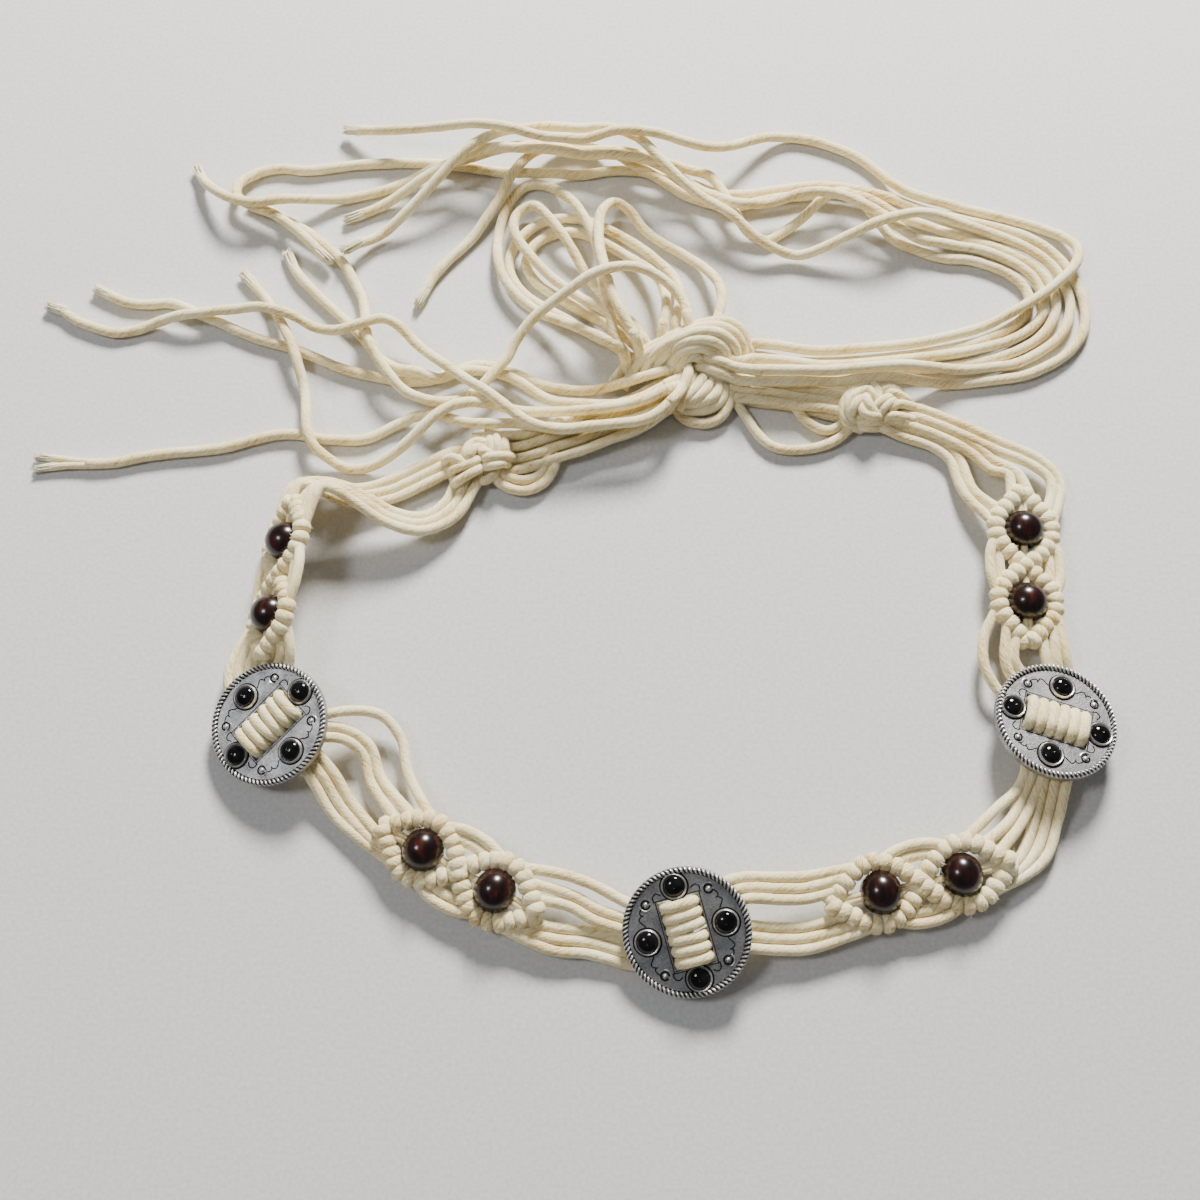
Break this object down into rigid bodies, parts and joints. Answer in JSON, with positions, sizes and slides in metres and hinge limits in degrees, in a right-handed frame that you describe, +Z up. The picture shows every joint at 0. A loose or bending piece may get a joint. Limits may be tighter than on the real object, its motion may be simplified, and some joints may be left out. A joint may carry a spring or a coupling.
{
  "type": "macrame cord belt",
  "caption": "Cotton cord belt with knotted diamonds, dark beads and round stone-set conchos, closed by a bow knot with long loose ties.",
  "frame": {"origin": "centre of the belt's box without its loose cords, on the floor it lies on", "axes": "+X to the viewer's right along the belt's longest side, +Y to the back, where the bow knot is, +Z up"},
  "size_m": [0.4117, 0.3495, 0.0269],
  "materials": {
    "cotton": "matte",
    "silver": "satin",
    "stone": "gloss",
    "wood": "gloss"
  },
  "bodies": {
    "root": {"concho_left": "silver", "stone_left_1": "stone", "stone_left_2": "stone", "stone_left_3": "stone", "stone_left_4": "stone", "concho_front": "silver", "stone_front_1": "stone", "stone_front_2": "stone", "stone_front_3": "stone", "stone_front_4": "stone", "concho_right": "silver", "stone_right_1": "stone", "stone_right_2": "stone", "stone_right_3": "stone", "stone_right_4": "stone", "diamonds_left": "cotton", "bead_left_1": "wood", "bead_left_2": "wood", "diamonds_front_left": "cotton", "bead_front_left_1": "wood", "bead_front_left_2": "wood", "diamonds_front_right": "cotton", "bead_front_right_1": "wood", "bead_front_right_2": "wood", "diamonds_right": "cotton", "bead_right_1": "wood", "bead_right_2": "wood", "strands_left": "cotton", "strands_front": "cotton", "strands_right": "cotton", "tie_knot": "cotton", "square_knot_left": "cotton", "square_knot_right": "cotton", "bow_loop_1": "cotton", "bow_loop_2": "cotton", "bow_loop_3": "cotton", "bow_loop_4": "cotton", "bow_loop_5": "cotton", "tie_left_1": "cotton", "tie_left_2": "cotton", "tie_left_3": "cotton", "tie_left_4": "cotton", "tie_left_5": "cotton", "tie_left_6": "cotton", "tie_right_1": "cotton", "tie_right_2": "cotton", "tie_right_3": "cotton", "tie_right_4": "cotton", "tie_right_5": "cotton", "tie_right_6": "cotton"}
  },
  "joints": []
}
